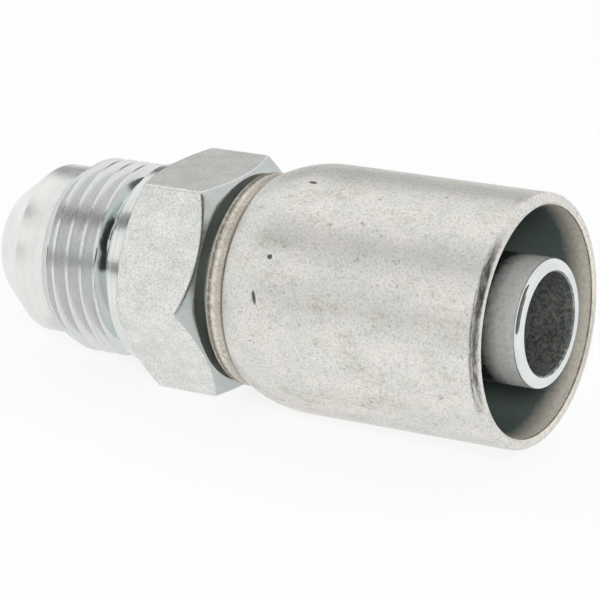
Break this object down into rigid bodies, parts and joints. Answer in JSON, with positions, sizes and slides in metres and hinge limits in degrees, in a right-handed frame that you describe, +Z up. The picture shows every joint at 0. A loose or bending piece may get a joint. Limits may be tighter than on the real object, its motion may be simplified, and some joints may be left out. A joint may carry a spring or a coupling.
{
  "type": "crimp hose fitting",
  "caption": "Straight crimp hose fitting: flared threaded nose, wrench hexagon, and a serrated hose stem inside a plain crimp shell.",
  "frame": {"origin": "under the middle of the fitting's box, on the surface that it lies on", "axes": "+X towards the hose end; the fitting's axis lies in the XZ plane and rises 5.317 degrees from X, because the fitting lies on the front edge of a flat of its hexagon and on the shoulder of its shell; +Z up"},
  "size_m": [0.0588, 0.0238, 0.0258],
  "materials": {
    "bright_zinc_steel": "bright zinc-plated turned steel",
    "dull_zinc_steel": "dull, mottled zinc-plated steel with light stains"
  },
  "bodies": {
    "root": {"nipple": "bright_zinc_steel", "crimp_shell": "dull_zinc_steel"}
  },
  "joints": []
}
